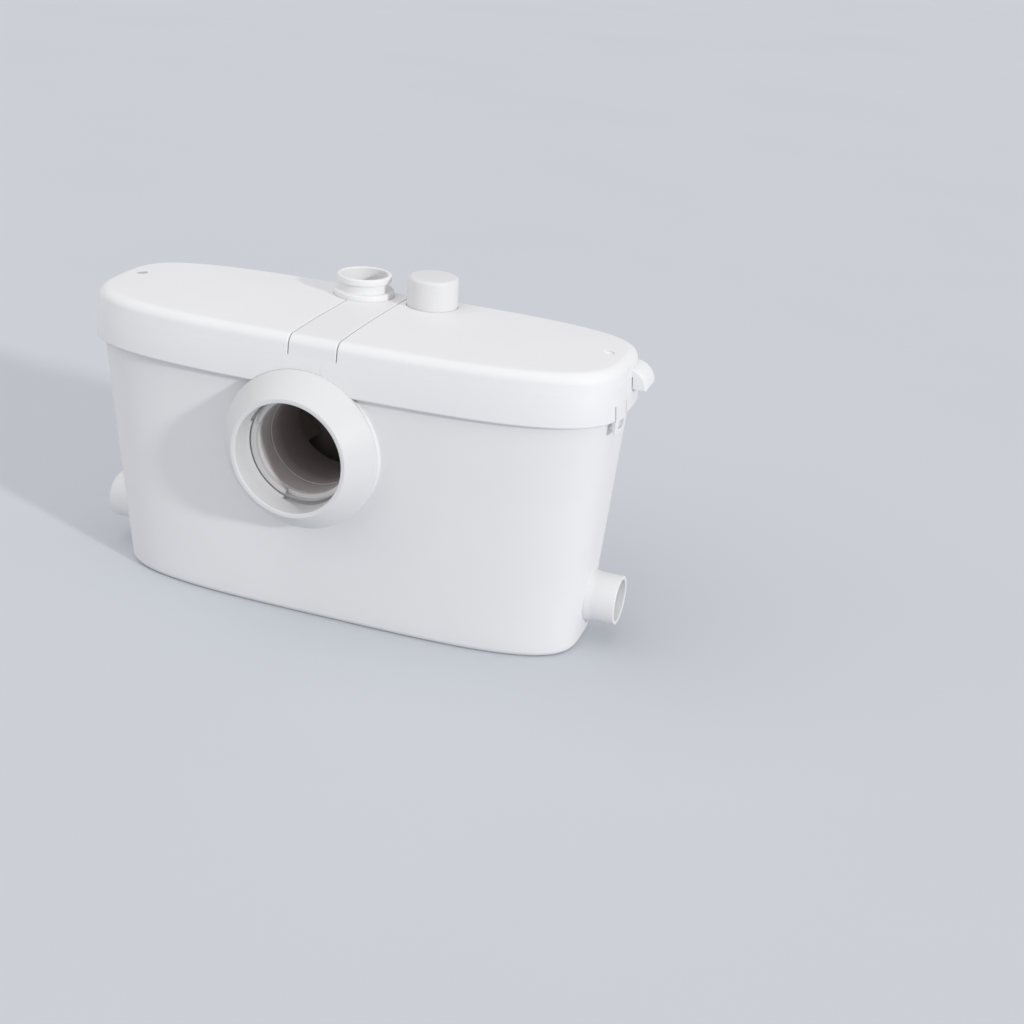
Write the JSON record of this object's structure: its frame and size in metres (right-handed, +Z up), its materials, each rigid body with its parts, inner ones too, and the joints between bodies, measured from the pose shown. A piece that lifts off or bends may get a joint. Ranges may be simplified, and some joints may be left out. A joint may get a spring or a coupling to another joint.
{
  "type": "macerator toilet pump",
  "caption": "White floor standing macerator pump for a toilet: long tapered tank, lift-off lids, round WC inlet collar, side inlets, capped top inlet and discharge neck.",
  "frame": {"origin": "centre of the tank's underside, on the floor", "axes": "+X to the right seen from the front along the tank, -Y out of the WC inlet, +Z up"},
  "size_m": [0.535, 0.2203, 0.3125],
  "materials": {
    "white_abs": "moulded white ABS, satin gloss",
    "lid_abs": "moulded white ABS, satin gloss",
    "collar_abs": "moulded white ABS, satin gloss",
    "light_plastic": "light grey moulded plastic",
    "dark_plastic": "dark grey moulded plastic",
    "rubber": "black rubber",
    "steel": "stainless steel",
    "impeller_plastic": "glass filled nylon",
    "motor_paint": "grey paint",
    "copper_iron": "varnished windings and core plates",
    "smoked": "smoked clear plastic, shown opaque",
    "can": "drawn can"
  },
  "bodies": {
    "case": {"tank": "white_abs", "top_casing": "white_abs", "casing_seal": "rubber", "inlet_collar": "collar_abs", "collar_seal": "rubber", "inlet_inner_ring": "light_plastic", "inlet_chute": "dark_plastic", "left_check_valve": "light_plastic", "right_check_valve": "light_plastic", "left_flap_pin": "steel", "right_flap_pin": "steel", "discharge_neck": "white_abs", "discharge_flap_pin": "steel", "top_inlet_spigot": "white_abs", "discharge_hose": "rubber", "lower_hose_clamp": "steel", "upper_hose_clamp": "steel", "grinder_basket": "dark_plastic", "volute_housing": "dark_plastic", "suction_plate": "dark_plastic", "motor_housing": "motor_paint", "motor_end_cap": "motor_paint", "stator": "copper_iron", "front_bearing": "steel", "rear_bearing": "steel", "shaft_seal": "rubber", "pump_cradle": "dark_plastic", "level_module": "light_plastic", "module_o_ring": "rubber", "bell_seal": "rubber", "membrane_cover": "light_plastic", "microswitch": "dark_plastic", "well_frame": "light_plastic", "well_window": "smoked", "well_screws": "steel", "capacitor": "can", "terminal_block": "light_plastic", "cable_plugs": "rubber", "cable_gland": "dark_plastic"},
    "left_lid": {"left_lid": "lid_abs", "left_lid_screw": "steel"},
    "right_lid": {"right_lid": "lid_abs", "right_lid_screw": "steel"},
    "inlet_cap": {"top_inlet_cap": "white_abs"},
    "rotor": {"motor_shaft": "steel", "rotor_core": "copper_iron", "impeller": "impeller_plastic", "cutter_blades": "steel", "blade_nut": "steel"},
    "left_flap": {"left_flap": "rubber"},
    "right_flap": {"right_flap": "rubber"},
    "discharge_flap": {"discharge_flap": "rubber"},
    "membrane": {"membrane": "rubber"}
  },
  "joints": [
    {"name": "left_lid_lift", "type": "slide", "parent": "case", "child": "left_lid", "axis": [0, 0, 1], "range_m": [0, 0.08]},
    {"name": "right_lid_lift", "type": "slide", "parent": "case", "child": "right_lid", "axis": [0, 0, 1], "range_m": [0, 0.1]},
    {"name": "inlet_cap_pull", "type": "slide", "parent": "case", "child": "inlet_cap", "axis": [0, 0, 1], "range_m": [0, 0.07]},
    {"name": "rotor_spin", "type": "hinge", "parent": "case", "child": "rotor", "pos_m": [-0.11, -0.02, 0.072], "axis": [1, 0, 0], "continuous": true},
    {"name": "left_flap_swing", "type": "hinge", "parent": "case", "child": "left_flap", "pos_m": [-0.21249, 0.0037, 0.0721], "axis": [0, -1, 0], "range_deg": [0, 40]},
    {"name": "right_flap_swing", "type": "hinge", "parent": "case", "child": "right_flap", "pos_m": [0.21249, 0.0037, 0.0721], "axis": [0, 1, 0], "range_deg": [0, 40]},
    {"name": "discharge_flap_swing", "type": "hinge", "parent": "case", "child": "discharge_flap", "pos_m": [-0.0395, 0.048, 0.2429], "axis": [0, -1, 0], "range_deg": [0, 50]},
    {"name": "membrane_push", "type": "slide", "parent": "case", "child": "membrane", "axis": [0, 0, 1], "range_m": [0, 0.002], "stiffness_N_per_m": 400}
  ]
}
